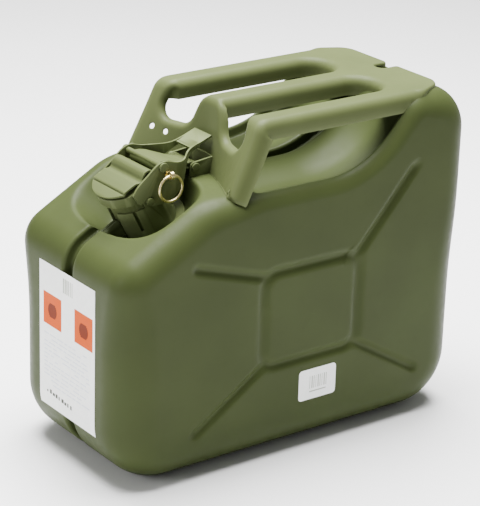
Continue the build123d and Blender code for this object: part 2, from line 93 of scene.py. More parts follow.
GRID_RUNS = ((-98, -54, 2.6), (-54, -26, 1.2), (-26, 148, 3.4))    # from, to and spacing along the sheet
GRID_HALF, GRID_ROW_STEP, GRID_CLEAR = 70, 2.8, 1.0
ARC_ROWS, FLANGE_ROWS = 6, 2

PIVOT_U = 19.0
CAP_CORNER_R, STRAP_TAPER_LEAD, STRAP_TAPER_RUN, STRAP_CROWN = 3.0, 3, 22, 0.8
BAND_COLUMNS, BAND_RIM = 25, 0.35
CAP_R, CAP_HALF, STRAP_FRONT_HALF, STRAP_REAR_HALF, STRAP_T = 28.0, 22.2, 17.7, 13.3, 1.6
CAP_LINE = ((-28, 49.9), (-26.5, 50.6), (-22, 50.9), (-17.7, 51.0), (-17.3, 50.2), (-16.9, 51.7), (-16, 52.3),
            (-10, 52.6), (-4.5, 52.4), (-2.5, 51.2), (-0.5, 50.6), (1.5, 51.3), (3.2, 53.4), (5.5, 55.2),
            (8, 55.8), (10.5, 55.2), (12.8, 53.0), (14.3, 50.6), (15.2, 49.0), (15.6, 47.8))
STRAP_LINE = ((16.9, 47.8), (17.2, 49.8), (18.6, 51.7), (20.5, 52.6), (23, 52.4), (27, 50.4), (31, 47.4),
              (37, 41), (43, 34.6), (47, 31.6), (50, 30.6), (53, 28.8), (54, 26.4))

LABEL_HALF, LABEL_LOW, LABEL_HIGH, LABEL_T = 41.0, 39.0, 164.0, 0.3
SIDE_LABEL_X, SIDE_LABEL_Z, SIDE_LABEL_W, SIDE_LABEL_H, SIDE_LABEL_R = 17.0, 56.5, 38.0, 27.0, 3.0
PRINT_LIFT, PRINT_T = LABEL_T - 0.03, 0.06
SQUARES = (((8.0, 111.5), (35.0, 139.0)), ((-38.0, 111.0), (-11.5, 139.0)))
OVAL_CENTRES, OVAL_STEPS, OVAL_H = ((21.5, 125.0), (-24.8, 124.5)), 9, 12.0
OVAL_HALF_W, OVAL_HALF_H = 6.5, 7.0
TEXT_ROWS, TEXT_TOP, TEXT_PITCH, TEXT_H, TEXT_HALF = 13, 103.0, 3.6, 1.1, 34.0
TEXT_END_Y, TEXT_GAP, TEXT_SHARE = -30.0, 1.6, 0.8
STAMP_COLUMNS, STAMP_Y, STAMP_PITCH, STAMP_LOW, STAMP_HIGH = 6, 5.5, 2.6, 146.5, 159.0
BLOTS, BLOT_Y, BLOT_PITCH, BLOT_Z, BLOT_DROP = 9, 30.0, 4.4, 52.0, 0.35
BAR_WIDTHS, BARS, BAR_X, BAR_PITCH, BAR_LOW, BAR_HIGH = (0.5, 1.0, 0.7), 9, -8.0, 2.1, -4.0, 7.0


# ---------------------------------------------------------------- small helpers
def new_piece(name, verts, faces, body, material, nodes=(), smooth=True):
    """A mesh object from millimetre points, riding on a body."""
    mesh = bpy.data.meshes.new(name)
    mesh.from_pydata([Vector(v) * MM for v in verts], [], faces)
    mesh.validate()
    mesh.update()
    piece = bpy.data.objects.new(name, mesh)
    bpy.context.scene.collection.objects.link(piece)
    return dress(piece, body, material, nodes, smooth)


def dress(piece, body, material, nodes=(), smooth=True):
    piece.data.materials.clear()
    piece.data.materials.append(material)
    for face in piece.data.polygons:
        face.use_smooth = smooth
    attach(piece, body)
    if nodes:
        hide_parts(*nodes)
    return piece


def apply_modifiers(piece):
    bpy.context.view_layer.update()
    graph = bpy.context.evaluated_depsgraph_get()
    mesh = bpy.data.meshes.new_from_object(piece.evaluated_get(graph))
    piece.modifiers.clear()
    old, piece.data = piece.data, mesh
    bpy.data.meshes.remove(old)


def smoothstep(x):
    x = np.clip(x, 0.0, 1.0)
    return x * x * (3 - 2 * x)


# ---------------------------------------------------------------- body shells
OUTLINE_STEPS = (STEP, STEP, STEP, STEP, FINE_STEP, FINE_STEP, STEP)


def outline_corners():
    slope_x = -LENGTH / 2 + (RECESS_Z - SHOULDER_Z) / math.tan(math.radians(SHOULDER_TILT))
    foot_x = HUMP_X - (BODY_TOP - RECESS_Z) / math.tan(math.radians(HUMP_TILT))
    half = LENGTH / 2
    return ((-half, 0), (half, 0), (half, BODY_TOP), (HUMP_X, BODY_TOP),
            (foot_x, RECESS_Z), (slope_x, RECESS_Z), (-half, SHOULDER_Z))


def rounded_outline(corners, radii, step):
    """Points and outward normals along a closed outline with rounded corners; step may differ per corner."""
    count = len(corners)
    steps = step if isinstance(step, tuple) else (step,) * count
    runs = []
    for i in range(count):
        before, here, after = (np.array(corners[(i + k) % count], float) for k in (-1, 0, 1))
        a, b = before - here, after - here
        a, b = a / np.linalg.norm(a), b / np.linalg.norm(b)
        half_turn = (math.pi - math.acos(np.clip(a @ b, -1, 1))) / 2
        tangent = radii[i] * math.tan(half_turn)
        sign = 1.0 if (-a[0]) * b[1] - (-a[1]) * b[0] > 0 else -1.0
        runs.append((here + a * tangent, here + b * tangent, sign, radii[i], 2 * half_turn, -a))
    points, normals = [], []
    for i in range(count):
        start, end, sign, radius, turn, heading = runs[i]
        left = np.array((-heading[1], heading[0]))
        centre = start + sign * left * radius
        pieces = max(4, int(round(radius * turn / steps[i])))
        for k in range(pieces):
            angle = sign * turn * k / pieces
            spoke = (start - centre)
            c, s = math.cos(angle), math.sin(angle)
            arm = np.array((c * spoke[0] - s * spoke[1], s * spoke[0] + c * spoke[1]))
            points.append(centre + arm)
            normals.append(arm / radius * sign)
        following = runs[(i + 1) % count][0]
        length = np.linalg.norm(following - end)
        direction = (following - end) / length
        pieces = max(2, int(round(length / steps[i])))
        for k in range(pieces):
            points.append(end + direction * length * k / pieces)
            normals.append(np.array((direction[1], -direction[0])))
    return np.array(points), np.array(normals)


def edge_radius(points):
    """Rounding between the big sides and the narrow faces: large below, tighter along shoulder and recess."""
    high = smoothstep((points[:, 1] - EDGE_HIGH_Z) / EDGE_HIGH_RUN)
    rear = smoothstep((points[:, 0] - EDGE_REAR_X) / EDGE_REAR_RUN)
    ridge = smoothstep((points[:, 0] - RIDGE_X) / RIDGE_RUN) * (1 - rear)
    radius = EDGE_R - high * (1 - rear) * SHOULDER_CUT - high * rear * REAR_CUT - high * ridge * RIDGE_CUT
    for _ in range(EDGE_SMOOTHINGS):
        radius = (np.roll(radius, 1) + radius + np.roll(radius, -1)) / 3
    return radius


def box_distance(x, z, half_w, half_h, radius):
    qx, qz = np.abs(x) - half_w + radius, np.abs(z) - half_h + radius
    return np.hypot(np.maximum(qx, 0), np.maximum(qz, 0)) + np.minimum(np.maximum(qx, qz), 0) - radius


def arm_distance(x, z, start, end):
    ex, ez = end[0] - start[0], end[1] - start[1]
    t = np.clip(((x - start[0]) * ex + (z - start[1]) * ez) / (ex * ex + ez * ez), 0, 1)
    return np.hypot(x - start[0] - t * ex, z - start[1] - t * ez)


def groove_depth(x, z):
    """How far the pressed frame and its arms sink the big side."""
    near = np.abs(box_distance(x - PANEL_X, z - PANEL_Z, PANEL_W / 2, PANEL_H / 2, PANEL_R))
    for end in ARM_ENDS:
        start = (PANEL_X + math.copysign(PANEL_W / 2 - ARM_START_IN, end[0] - PANEL_X),
                 PANEL_Z + math.copysign(PANEL_H / 2 - ARM_START_IN, end[1] - PANEL_Z))
        arm = arm_distance(x, z, start, end)
        near = -np.log(np.exp(-near / GROOVE_BLEND) + np.exp(-arm / GROOVE_BLEND)) * GROOVE_BLEND
    return GROOVE_DEPTH * smoothstep(1 - np.clip(near, 0, None) / GROOVE_HALF)


def spout_axes():
    tilt = math.radians(SPOUT_TILT)
    return (np.array((math.cos(tilt), 0, math.sin(tilt))), np.array((-math.sin(tilt), 0, math.cos(tilt))))


def sink_seat(points):
    """Pushes points down the spout's axis into the dish round it, leaving a web in front of the spout."""
    along, up = spout_axes()
    rel = points - np.array(SPOUT_BASE)
    u, y, s = rel @ along, rel[:, 1], rel @ up
    radius = np.maximum(np.hypot(u, y), 0.01)
    reach = np.where(u < 0, DISH_FRONT, DISH_REAR)
    share = ((np.abs(u) / reach) ** DISH_POWER + (np.abs(y) / DISH_HALF) ** DISH_POWER) ** (1 / DISH_POWER)
    wall = DISH_DEPTH * (radius - DISH_FLOOR_R) / (radius / share - DISH_FLOOR_R)
    floor = np.log(1 + np.exp(np.clip(wall / SEAT_FLOOR_BLEND, -30, 30))) * SEAT_FLOOR_BLEND
    soft = SEAT_RIM_BLEND
    low = np.minimum(s, floor)
    sunk = low - soft * np.log(np.exp(-(s - low) / soft) + np.exp(-(floor - low) / soft))
    sunk = np.minimum(sunk, s)
    web = (1 - smoothstep((np.abs(y) - WEB_HALF) / WEB_FADE)) * smoothstep((-u - WEB_FROM_U) / WEB_RUN)
    sunk = sunk * (1 - web) + s * web
    inside = (share < SEAT_SHARE) & (s > SEAT_LOW_S) & (s < SEAT_HIGH_S)
    shift = np.where(inside, sunk - s, 0.0)
    return points + shift[:, None] * up, np.where(s > NECK_HOLE_LOW_S, radius, np.inf)


def hollow_depth(points):
    """How far the top below the handle lies under the rounded ridges at its two sides."""
    x, y, z = points.T
    along = smoothstep((x - HOLLOW_FROM_X) / HOLLOW_FRONT_RUN) * smoothstep((HOLLOW_TO_X - x) / HOLLOW_REAR_RUN)
    outer = smoothstep((HOLLOW_HALF - np.abs(y)) / HOLLOW_SIDE_RUN)
    across = outer * smoothstep((np.abs(y) - HOLLOW_FROM_Y) / HOLLOW_Y_RUN)
    return HOLLOW_DEPTH * along * across * (z > HOLLOW_FROM_Z)


CHANNEL_PROFILE = ((CHANNEL_DEPTH, 0.0), (CHANNEL_DEPTH, 3.0), (CHANNEL_DEPTH - 0.3, 5.2),
                   (CHANNEL_DEPTH - 1.6, CHANNEL_HALF), (LIP_R + 0.6, CHANNEL_HALF))    # inset and y


def shell_rings(outline, normals, radii):
    """Cross-section from the seam to the middle of the big side, one ring of points per row."""
    def ring(inset, y):
        spot = outline - normals * np.broadcast_to(inset, (len(outline),))[:, None]
        return np.column_stack((spot[:, 0], -np.broadcast_to(y, (len(outline),)), spot[:, 1]))

    rows = [ring(inset, y) for inset, y in CHANNEL_PROFILE]
    for k in range(5):
        angle = math.pi / 2 * k / 4
        rows.append(ring(LIP_R * (1 - math.sin(angle)), CHANNEL_HALF + LIP_R * (1 - math.cos(angle))))
    start, flat_end = CHANNEL_HALF + LIP_R, THICKNESS / 2 - radii
    strips = 30
    for k in range(1, strips):
        rows.append(ring(0.0, start + (flat_end - start) * k / strips))
    arcs = 16
    for k in range(arcs + 1):
        angle = math.pi / 2 * k / arcs
        rows.append(ring(radii * (1 - math.cos(angle)), THICKNESS / 2 - radii * (1 - math.sin(angle))))
    rim = rows[-1]
    middle = np.array((SIDE_MIDDLE_X, -THICKNESS / 2, SIDE_MIDDLE_Z))
    inward = 50
    for k in range(1, inward):
        share = k / inward
        rows.append(rim + (middle - rim) * share)
    return rows, middle


def ring_faces(rows, count, start=0):
    """Quads between closed rings of count points each, stacked from start."""
    faces = []
    for r in range(rows - 1):
        first, second = start + r * count, start + (r + 1) * count
        for i in range(count):
            j = (i + 1) % count
            faces.append((first + i, first + j, second + j, second + i))
    return faces


def shell_mesh():
    outline, normals = rounded_outline(outline_corners(), CORNER_RADII, OUTLINE_STEPS)
    rows, middle = shell_rings(outline, normals, edge_radius(outline))
    count = len(outline)
    points = np.vstack(rows + [middle[None, :]])
    flat = smoothstep((-points[:, 1] - THICKNESS / 2 + GROOVE_FADE_FROM) / GROOVE_FADE)
    points[:, 1] += groove_depth(points[:, 0], points[:, 2]) * flat
    points[:, 2] -= hollow_depth(points)
    points, radius = sink_seat(points)
    faces = ring_faces(len(rows), count)
    last, tip = (len(rows) - 1) * count, len(rows) * count
    faces += [(last + i, last + (i + 1) % count, tip) for i in range(count)]
    top = points[:, 2] > NECK_HOLE_FROM_Z
    faces = [f for f in faces if not all(radius[v] < NECK_HOLE_R and top[v] for v in f)]
    return points, faces


def make_shells(paint):
    points, faces = shell_mesh()
    for name, side in (("left_shell", 1), ("right_shell", -1)):
        spots = points * np.array((1, side, 1))
        order = faces if side > 0 else [tuple(reversed(f)) for f in faces]
        piece = new_piece("visual_" + name, spots, order, "can", paint, (name,))
        solid = piece.modifiers.new("sheet", "SOLIDIFY")
        solid.thickness = SHEET * MM
        solid.offset = -1
        apply_modifiers(piece)


# ---------------------------------------------------------------- handle
def plate_front(y):
    """Where the sloping front would meet the top sheet, and its lean: a shallow curve across the handle."""
    share = (np.abs(y) / HANDLE_HALF) ** PLATE_CURVE
    top_x = MIDDLE_TOP_X + share * (EDGE_TOP_X - MIDDLE_TOP_X)
    return top_x, MIDDLE_LEAN + share * (EDGE_LEAN - MIDDLE_LEAN)


def handle_surface(a, y):
    """The handle's outer face. a is x on the top sheet; ahead of CORNER_A it counts down the sloping front."""
    top_x, lean = plate_front(y)

    def bent(at):
        stretched = TOP_A + (at - TOP_A) * (top_x - TOP_A) / (CORNER_A - TOP_A)
        drop = np.maximum(CORNER_A - at, 0.0)
        x = np.where(at > TOP_A, at, np.where(at > CORNER_A, stretched, top_x - lean * drop))
        return np.column_stack((x, y, GRIP_TOP - drop))

    share = np.clip((a - CORNER_A + BEND_REACH) / (2 * BEND_REACH), 0, 1)[:, None]
    full = np.full_like(a, 1.0)
    before, corner, after = (bent(full * (CORNER_A + k * BEND_REACH)) for k in (-1, 0, 1))
    arc = (1 - share) ** 2 * before + 2 * share * (1 - share) * corner + share ** 2 * after
    return np.where((share > 0) & (share < 1), arc, bent(a))


def handle_points(a, y, sink):
    """Points sunk below the handle's outer face, and kept from going deeper than the body's sheet."""
    a, y, sink = (np.asarray(v, float) for v in (a, y, sink))
    small = 0.3
    across_a = handle_surface(a + small, y) - handle_surface(a - small, y)
    across_y = handle_surface(a, y + small) - handle_surface(a, y - small)
    normal = np.cross(across_a, across_y)
    normal /= np.linalg.norm(normal, axis=1)[:, None]
    points = handle_surface(a, y) - normal * np.broadcast_to(sink, a.shape)[:, None]
    points[:, 2] = np.maximum(points[:, 2], body_height(points[:, 0], points[:, 1]) - SUNK_IN_BODY)
    return points


def body_height(x, y):
    """Height of the body's upper surface, without the dish."""
    outline, _ = rounded_outline(outline_corners(), CORNER_RADII, STEP)
    radii = edge_radius(outline)
    upper = outline[:, 1] > SHOULDER_Z
    order = np.argsort(outline[upper, 0])
    xs, zs, rs = outline[upper, 0][order], outline[upper, 1][order], radii[upper][order]
    radius = np.interp(x, xs, rs)
    beyond = np.clip(np.abs(y) - (THICKNESS / 2 - radius), 0, radius)
    return np.interp(x, xs, zs) - radius + np.sqrt(radius ** 2 - beyond ** 2)


def loop_normals(spots):
    """Outward normals of a closed anticlockwise loop."""
    ahead = np.roll(spots, -1, axis=0) - np.roll(spots, 1, axis=0)
    normals = np.column_stack((ahead[:, 1], -ahead[:, 0]))
    return normals / np.linalg.norm(normals, axis=1)[:, None]


def hand_slot():
    """A hand slot of the flat sheet: straight between the grips, wider down the sloping front."""
    front = CORNER_A - (GRIP_TOP - SLOT_FROM_Z)
    inner, outer = GRIP_HALF, HANDLE_HALF - 2 * GRIP_HALF
    corners = ((front, inner), (SLOT_REAR_X, inner), (SLOT_REAR_X, outer), (front, outer))
    spots, _ = rounded_outline(corners, (SLOT_FRONT_R, SLOT_R, SLOT_R, SLOT_FRONT_R), SLOT_STEP)
    down = smoothstep((SLOT_FLARE_A - spots[:, 0]) / SLOT_FLARE_RUN)
    across = (spots[:, 1] - inner) / (outer - inner)
    spots[:, 1] += down * (SLOT_FLARE_IN * (1 - across) + SLOT_FLARE_OUT * across)
    normals = loop_normals(spots)
    middle = spots - spots.mean(axis=0)
    return (spots, normals) if np.sum(normals * middle) > 0 else (spots, -normals)


def handle_loops():
    """Edges of the pressed sheet before its rims are rolled: outline, two hand slots, two lace holes."""
    foot = CORNER_A - (GRIP_TOP - FOOT_Z)
    half, end = HANDLE_HALF, PLATE_END_X
    corners = ((foot, -half), (TAPER_FROM_X, -half), (end, -PLATE_END_HALF), (end, -NOTCH_HALF),
               (NOTCH_X, -NOTCH_HALF), (NOTCH_X, NOTCH_HALF), (end, NOTCH_HALF), (end, PLATE_END_HALF),
               (TAPER_FROM_X, half), (foot, half))
    bend, sharp = PLATE_CORNER_R, SHARP_R
    radii = (sharp, bend, bend, sharp, NOTCH_R, NOTCH_R, sharp, bend, bend, sharp)
    loops = [(*rounded_outline(corners, radii, RIM_STEP), OUTLINE)]
    spots, normals = hand_slot()
    for side in (-1, 1):
        loops.append((spots * (1, side), normals * (1, side), SLOT))
    for y, z in LACE_HOLES:
        at, r = CORNER_A - (GRIP_TOP - z), LACE_R
        corners = ((at - r, y - r), (at + r, y - r), (at + r, y + r), (at - r, y + r))
        loops.append((*rounded_outline(corners, (r * 0.98,) * 4, LACE_STEP), LACE))
    return loops


def roll_of(spots, kind):
    """Rim radius and flange depth along a loop."""
    a, y = spots[:, 0], spots[:, 1]
    if kind == LACE:
        return np.full(len(a), LACE_ROLL), np.full(len(a), LACE_FLANGE)
    if kind == SLOT:
        front = smoothstep((SLOT_FRONT_A - a) / SLOT_FRONT_RUN)
        room = SLOT_BEND_DEPTH + np.clip(a - CORNER_A - SLOT_ROOM_FROM, 0, None) * SLOT_ROOM_RISE
        return GRIP_R - SLOT_FRONT_CUT * front, np.minimum(GRIP_DEPTH, room)
    foot = smoothstep((FOOT_A - a) / FOOT_RUN)
    foot = foot * (1 - smoothstep((np.abs(y) - HANDLE_HALF + FOOT_SIDE) / FOOT_SIDE_RUN))
    lying = smoothstep((a - TAPER_FROM_X + LYING_LEAD) / LYING_RUN)
    radius, depth = GRIP_R + lying * (LYING_R - GRIP_R), GRIP_DEPTH + lying * (LYING_DEPTH - GRIP_DEPTH)
    return radius * (1 - foot) + FOOT_ROLL * foot, depth * (1 - foot) + FOOT_FLANGE * foot


def inside_loop(spots, loop):
    """Even-odd test of points against one closed loop."""
    crossings = np.zeros(len(spots), int)
    for (ax, ay), (bx, by) in zip(loop, np.roll(loop, -1, axis=0)):
        straddles = (ay > spots[:, 1]) != (by > spots[:, 1])
        level = by - ay if by != ay else 1.0
        crossings += straddles & (spots[:, 0] < ax + (spots[:, 1] - ay) * (bx - ax) / level)
    return crossings % 2 == 1


def flat_sheet(loops):
    """Triangles of the sheet between its flat edges, with a grid of points inside."""
    columns = np.concatenate([np.arange(*run) for run in GRID_RUNS])
    across = np.arange(-GRID_HALF, GRID_HALF + 0.1, GRID_ROW_STEP)
    grid = np.array([(a, y) for a in columns for y in across])
    keep = inside_loop(grid, loops[0])
    for loop in loops[1:]:
        keep &= ~inside_loop(grid, loop)
    rims = np.vstack(loops)
    for k, spot in enumerate(grid):
        if keep[k]:
            keep[k] = np.min(np.sum((rims - spot) ** 2, axis=1)) > GRID_CLEAR
    points = np.vstack((rims, grid[keep]))
    edges, start = [], 0
    for loop in loops:
        count = len(loop)
        edges += [(start + i, start + (i + 1) % count) for i in range(count)]
        start += count
    spots, _, faces, *_ = delaunay_2d_cdt([Vector(p) for p in points], edges, [], 0, 1e-4)
    spots = np.array([tuple(p) for p in spots])
    middles = np.array([spots[list(f)].mean(axis=0) for f in faces])
    keep = inside_loop(middles, loops[0])
    for loop in loops[1:]:
        keep &= ~inside_loop(middles, loop)
    return spots, [tuple(f) for f, good in zip(faces, keep) if good]


def weld(piece, distance):
    """Merges close points and turns every face outward from the sheet's upper side."""
    work = bmesh.new()
    work.from_mesh(piece.data)
    bmesh.ops.remove_doubles(work, verts=work.verts, dist=distance * MM)
    bmesh.ops.dissolve_degenerate(work, edges=work.edges, dist=0.01 * MM)
    bmesh.ops.recalc_face_normals(work, faces=work.faces)
    highest = max(work.faces, key=lambda face: face.calc_center_median().z)
    if highest.normal.z < 0:
        bmesh.ops.reverse_faces(work, faces=work.faces)
    work.to_mesh(piece.data)
    work.free()


def thicken(piece, thickness, rim=0.0):
    """Gives a sheet its thickness below its face, with slightly rounded edges where rim is set."""
    solid = piece.modifiers.new("sheet", "SOLIDIFY")
    solid.thickness, solid.offset = thickness * MM, -1
    if rim:
        bevel = piece.modifiers.new("rim", "BEVEL")
        bevel.width, bevel.segments, bevel.limit_method = rim * MM, 2, "ANGLE"
        bevel.angle_limit = math.radians(50)
    apply_modifiers(piece)
    piece.data.polygons.foreach_set("use_smooth", [True] * len(piece.data.polygons))
    piece.data.set_sharp_from_angle(angle=math.radians(40))


def rolled_rim(flat, outward, radius, depth, slot):
    """Rows of points from a flat edge round its rolled rim and down its flange."""
    rows = []
    for k in range(ARC_ROWS + FLANGE_ROWS + 1):
        angle = math.pi / 2 * min(k, ARC_ROWS) / ARC_ROWS
        extra = (depth - radius) * max(k - ARC_ROWS, 0) / FLANGE_ROWS
        spot = flat + outward * (radius * math.sin(angle))[:, None]
        row = handle_points(spot[:, 0], spot[:, 1], radius * (1 - math.cos(angle)) + extra)
        if slot and k > ARC_ROWS:  # the flange below a grip runs on level until it meets the sloping front
            level = GRIP_TOP - radius - (GRIP_DEPTH - radius) * (k - ARC_ROWS) / FLANGE_ROWS
            near = spot[:, 0] > CORNER_A - GRIP_DEPTH + 2
            row[:, 2] = np.where(near, np.minimum(row[:, 2], level), row[:, 2])
        rows.append(row)
    return rows


def make_handle(paint):
    """One pressed sheet with rolled rims: sloping front, three grips and the plate over the rear."""
    flats, rims = [], []
    for spots, normals, kind in handle_loops():
        radius, depth = roll_of(spots, kind)
        outward = normals if kind == OUTLINE else -normals
        flats.append(spots - outward * radius[:, None])
        rims.append((flats[-1], outward, radius, depth, kind == SLOT))
    spots, triangles = flat_sheet(flats)
    verts = [handle_points(spots[:, 0], spots[:, 1], 0.0)]
    faces = list(triangles)
    start = len(spots)
    for rim in rims:
        rows, count = rolled_rim(*rim), len(rim[0])
        verts += rows
        faces += ring_faces(len(rows), count, start)
        start += count * len(rows)
    names = ("handle_front_plate", "handle_rear_plate", "left_grip", "centre_grip", "right_grip")
    piece = new_piece("visual_handle", np.vstack(verts), faces, "can", paint, names)
    weld(piece, 0.05)
    thicken(piece, HANDLE_T)


# ---------------------------------------------------------------- cap, strap and lever
def smooth_line(corners, step=0.45, passes=3):
    """Evenly spaced points along a line of corners, with the corners softened."""
    corners = np.array(corners, float)
    lengths = np.concatenate(((0,), np.cumsum(np.linalg.norm(np.diff(corners, axis=0), axis=1))))
    at = np.linspace(0, lengths[-1], int(lengths[-1] / step) + 1)
    line = np.column_stack([np.interp(at, lengths, corners[:, k]) for k in (0, 1)])
    for _ in range(passes):
        line[1:-1] = (line[:-2] + 2 * line[1:-1] + line[2:]) / 4
    return line


def spout_points(u, y, s):
    along, up = spout_axes()
    return np.array(SPOUT_BASE) + np.outer(u, along) + np.outer(s, up) + np.outer(y, (0, 1, 0))


def band(name, line, halves, crown, node, paint):
    """A sheet that follows a side-view line and has a half width at each of its points."""
    count = BAND_COLUMNS
    across = np.linspace(-1, 1, count)
    verts = [spout_points(np.full(count, u), across * half, s + crown * (1 - across ** 2))
             for (u, s), half in zip(line, halves)]
    faces = [(r * count + i, (r + 1) * count + i, (r + 1) * count + i + 1, r * count + i + 1)
             for r in range(len(line) - 1) for i in range(count - 1)]
    piece = new_piece(name, np.vstack(verts), faces, "lid", paint, (node,) if node else ())
    weld(piece, 0.02)
    thicken(piece, STRAP_T, BAND_RIM)


def make_strap(paint):
    line = smooth_line(CAP_LINE)
    halves = np.sqrt(np.clip(CAP_R ** 2 - line[:, 0] ** 2, 0.01, None))
    near_end = np.clip(1 - (line[-1, 0] - line[:, 0]) / CAP_CORNER_R, 0, 1)
    corner = CAP_CORNER_R * (1 - np.sqrt(1 - near_end ** 2))
    band("visual_cap_plate", line, np.minimum(halves, CAP_HALF - corner), 0.0, "lid_strap", paint)
    line = smooth_line(STRAP_LINE)
    taper = smoothstep((line[:, 0] - PIVOT_U - STRAP_TAPER_LEAD) / STRAP_TAPER_RUN)
    halves = STRAP_FRONT_HALF + taper * (STRAP_REAR_HALF - STRAP_FRONT_HALF)
    band("visual_tapered_strap", line, halves, STRAP_CROWN, "", paint)


def soften(name, paint, width, body):
    """A copy of a CAD node with its sharp edges rounded over."""
    mesh = frame["nodes"][name].data.copy()
    piece = bpy.data.objects.new("visual_" + name, mesh)
    bpy.context.scene.collection.objects.link(piece)
    work = bmesh.new()
    work.from_mesh(mesh)
    bmesh.ops.remove_doubles(work, verts=work.verts, dist=0.002 * MM)
    bmesh.ops.dissolve_limit(work, angle_limit=math.radians(1.0), verts=work.verts, edges=work.edges)
    work.to_mesh(mesh)
    work.free()
    bevel = piece.modifiers.new("rounding", "BEVEL")
    bevel.width, bevel.segments, bevel.limit_method = width * MM, 3, "ANGLE"
    bevel.angle_limit = math.radians(35)
    bevel.use_clamp_overlap = True
    apply_modifiers(piece)
    dress(piece, body, paint, (name,))
    piece.data.set_sharp_from_angle(angle=math.radians(40))


# ---------------------------------------------------------------- labels
def front_x(z, lift):
    """The narrow front face, lift above the sheet, with the rounding into the bottom."""
    radius = CORNER_RADII[0]
    below = np.clip(radius - z, 0, radius)
    return -LENGTH / 2 - lift + radius - np.sqrt(radius ** 2 - below ** 2)


def label_patch(corners, lift, thickness):
    """Points and faces of one thin closed patch of the front label, y and z from corner to corner."""
    (y0, z0), (y1, z1) = corners
    count = max(2, int(abs(z1 - z0) / 2.5) + 1)
    zs = np.linspace(z0, z1, count)
    rings = []
    for z in zs:
        near, far = front_x(z, lift), front_x(z, lift + thickness)
        rings += [(near, y0, z), (near, y1, z), (far, y1, z), (far, y0, z)]
    faces = [(0, 1, 2, 3), tuple(4 * (count - 1) + k for k in (3, 2, 1, 0))]
    for r in range(count - 1):
        for k in range(4):
            j = (k + 1) % 4
            faces.append((4 * r + k, 4 * r + 4 + k, 4 * r + 4 + j, 4 * r + j))
    return rings, faces


def label_piece(name, patches, lift, thickness, paint, nodes=()):
    verts, faces = [], []
    for patch in patches:
        rings, sides = label_patch(patch, lift, thickness)
        faces += [tuple(len(verts) + v for v in side) for side in sides]
        verts += rings
    piece = new_piece(name, verts, faces, "can", paint, nodes, smooth=False)
    weld(piece, 0.001)


def front_print():
    """Generic print of the front label: pale lines of unreadable text, a grey stamp and a few dark marks."""
    random.seed(7)
    lines, marks, blots = [], [], []
    for row in range(TEXT_ROWS):
        z = TEXT_TOP - row * TEXT_PITCH
        y = TEXT_HALF
        while y > TEXT_END_Y:
            long = random.uniform(4.0, 13.0)
            if random.random() < TEXT_SHARE:
                lines.append(((max(y - long, -TEXT_HALF), z), (y, z + TEXT_H)))
            y -= long + TEXT_GAP
    for column in range(STAMP_COLUMNS):
        y = STAMP_Y - column * STAMP_PITCH
        marks.append(((y - random.uniform(0.7, 1.5), STAMP_LOW), (y, STAMP_HIGH)))
    for step in range(BLOTS):
        y, low = BLOT_Y - step * BLOT_PITCH, BLOT_Z - BLOT_DROP * step
        blots.append(((y - random.uniform(1.5, 3.6), low), (y, low + random.uniform(1.2, 4.0))))
    return lines, marks, blots


def oval_rows():
    """A plain dark oval in each square, in place of a symbol, as a stack of thin rows."""
    rows, pitch = [], OVAL_H / OVAL_STEPS
    for y, z in OVAL_CENTRES:
        for step in range(OVAL_STEPS):
            high = -OVAL_H / 2 + step * OVAL_H / OVAL_STEPS
            wide = OVAL_HALF_W * math.sqrt(1 - ((high + pitch / 2) / OVAL_HALF_H) ** 2)
            rows.append(((y - wide, z + high), (y + wide, z + high + pitch)))
    return rows


def make_front_label():
    film = ((-LABEL_HALF, LABEL_LOW), (LABEL_HALF, LABEL_HIGH))
    label_piece("visual_front_label", [film], 0.02, LABEL_T - 0.04, LABEL_WHITE, ("front_label",))
    lines, marks, blots = front_print()
    for name, patches, finish in (("label_squares", SQUARES, LABEL_ORANGE), ("label_lines", lines, LABEL_FAINT),
                                  ("label_stamp", marks, LABEL_GREY), ("label_marks", blots, LABEL_DARK)):
        label_piece(name, patches, PRINT_LIFT, PRINT_T, finish)
    label_piece("label_ovals", oval_rows(), PRINT_LIFT + PRINT_T / 2, PRINT_T, LABEL_BROWN)


def side_sheet(name, outlines, lift, thickness, paint, nodes=()):
    """Thin closed plates lying on the left big side."""
    verts, faces = [], []
    for outline in outlines:
        count, start = len(outline), len(verts)
        for level in (lift, lift + thickness):
            verts += [(SIDE_LABEL_X + x, -THICKNESS / 2 - level, SIDE_LABEL_Z + z) for x, z in outline]
        faces.append(tuple(start + i for i in reversed(range(count))))
        faces.append(tuple(start + count + i for i in range(count)))
        faces += [(start + i, start + (i + 1) % count, start + count + (i + 1) % count, start + count + i)
                  for i in range(count)]
    piece = new_piece(name, verts, faces, "can", paint, nodes, smooth=False)
    weld(piece, 0.001)


def make_side_label():
    half_w, half_h = SIDE_LABEL_W / 2, SIDE_LABEL_H / 2
    corners = ((-half_w, -half_h), (half_w, -half_h), (half_w, half_h), (-half_w, half_h))
    outline, _ = rounded_outline(corners, (SIDE_LABEL_R,) * 4, 0.8)
    side_sheet("visual_side_label", [outline], 0.0, LABEL_T, LABEL_WHITE, ("side_label",))
    bars = []
    for k in range(BARS):
        x, wide = BAR_X + k * BAR_PITCH, BAR_WIDTHS[k % 3]
        bars.append(np.array(((x, BAR_LOW), (x + wide, BAR_LOW), (x + wide, BAR_HIGH), (x, BAR_HIGH))))
    bars.append(np.array(((-8.0, -7.2), (9.0, -7.2), (9.0, -6.2), (-8.0, -6.2))))
    side_sheet("side_label_bars", bars, PRINT_LIFT, PRINT_T, LABEL_GREY)


# ---------------------------------------------------------------- materials
def material(name):
    mat = bpy.data.materials.new(name)
    mat.use_nodes = True
    tree = mat.node_tree
    return mat, tree, tree.nodes["Principled BSDF"]


def node(tree, kind, **settings):
    made = tree.nodes.new(kind)
    for key, value in settings.items():
        if key in made.inputs:
            made.inputs[key].default_value = value
        else:
            setattr(made, key, value)
    return made


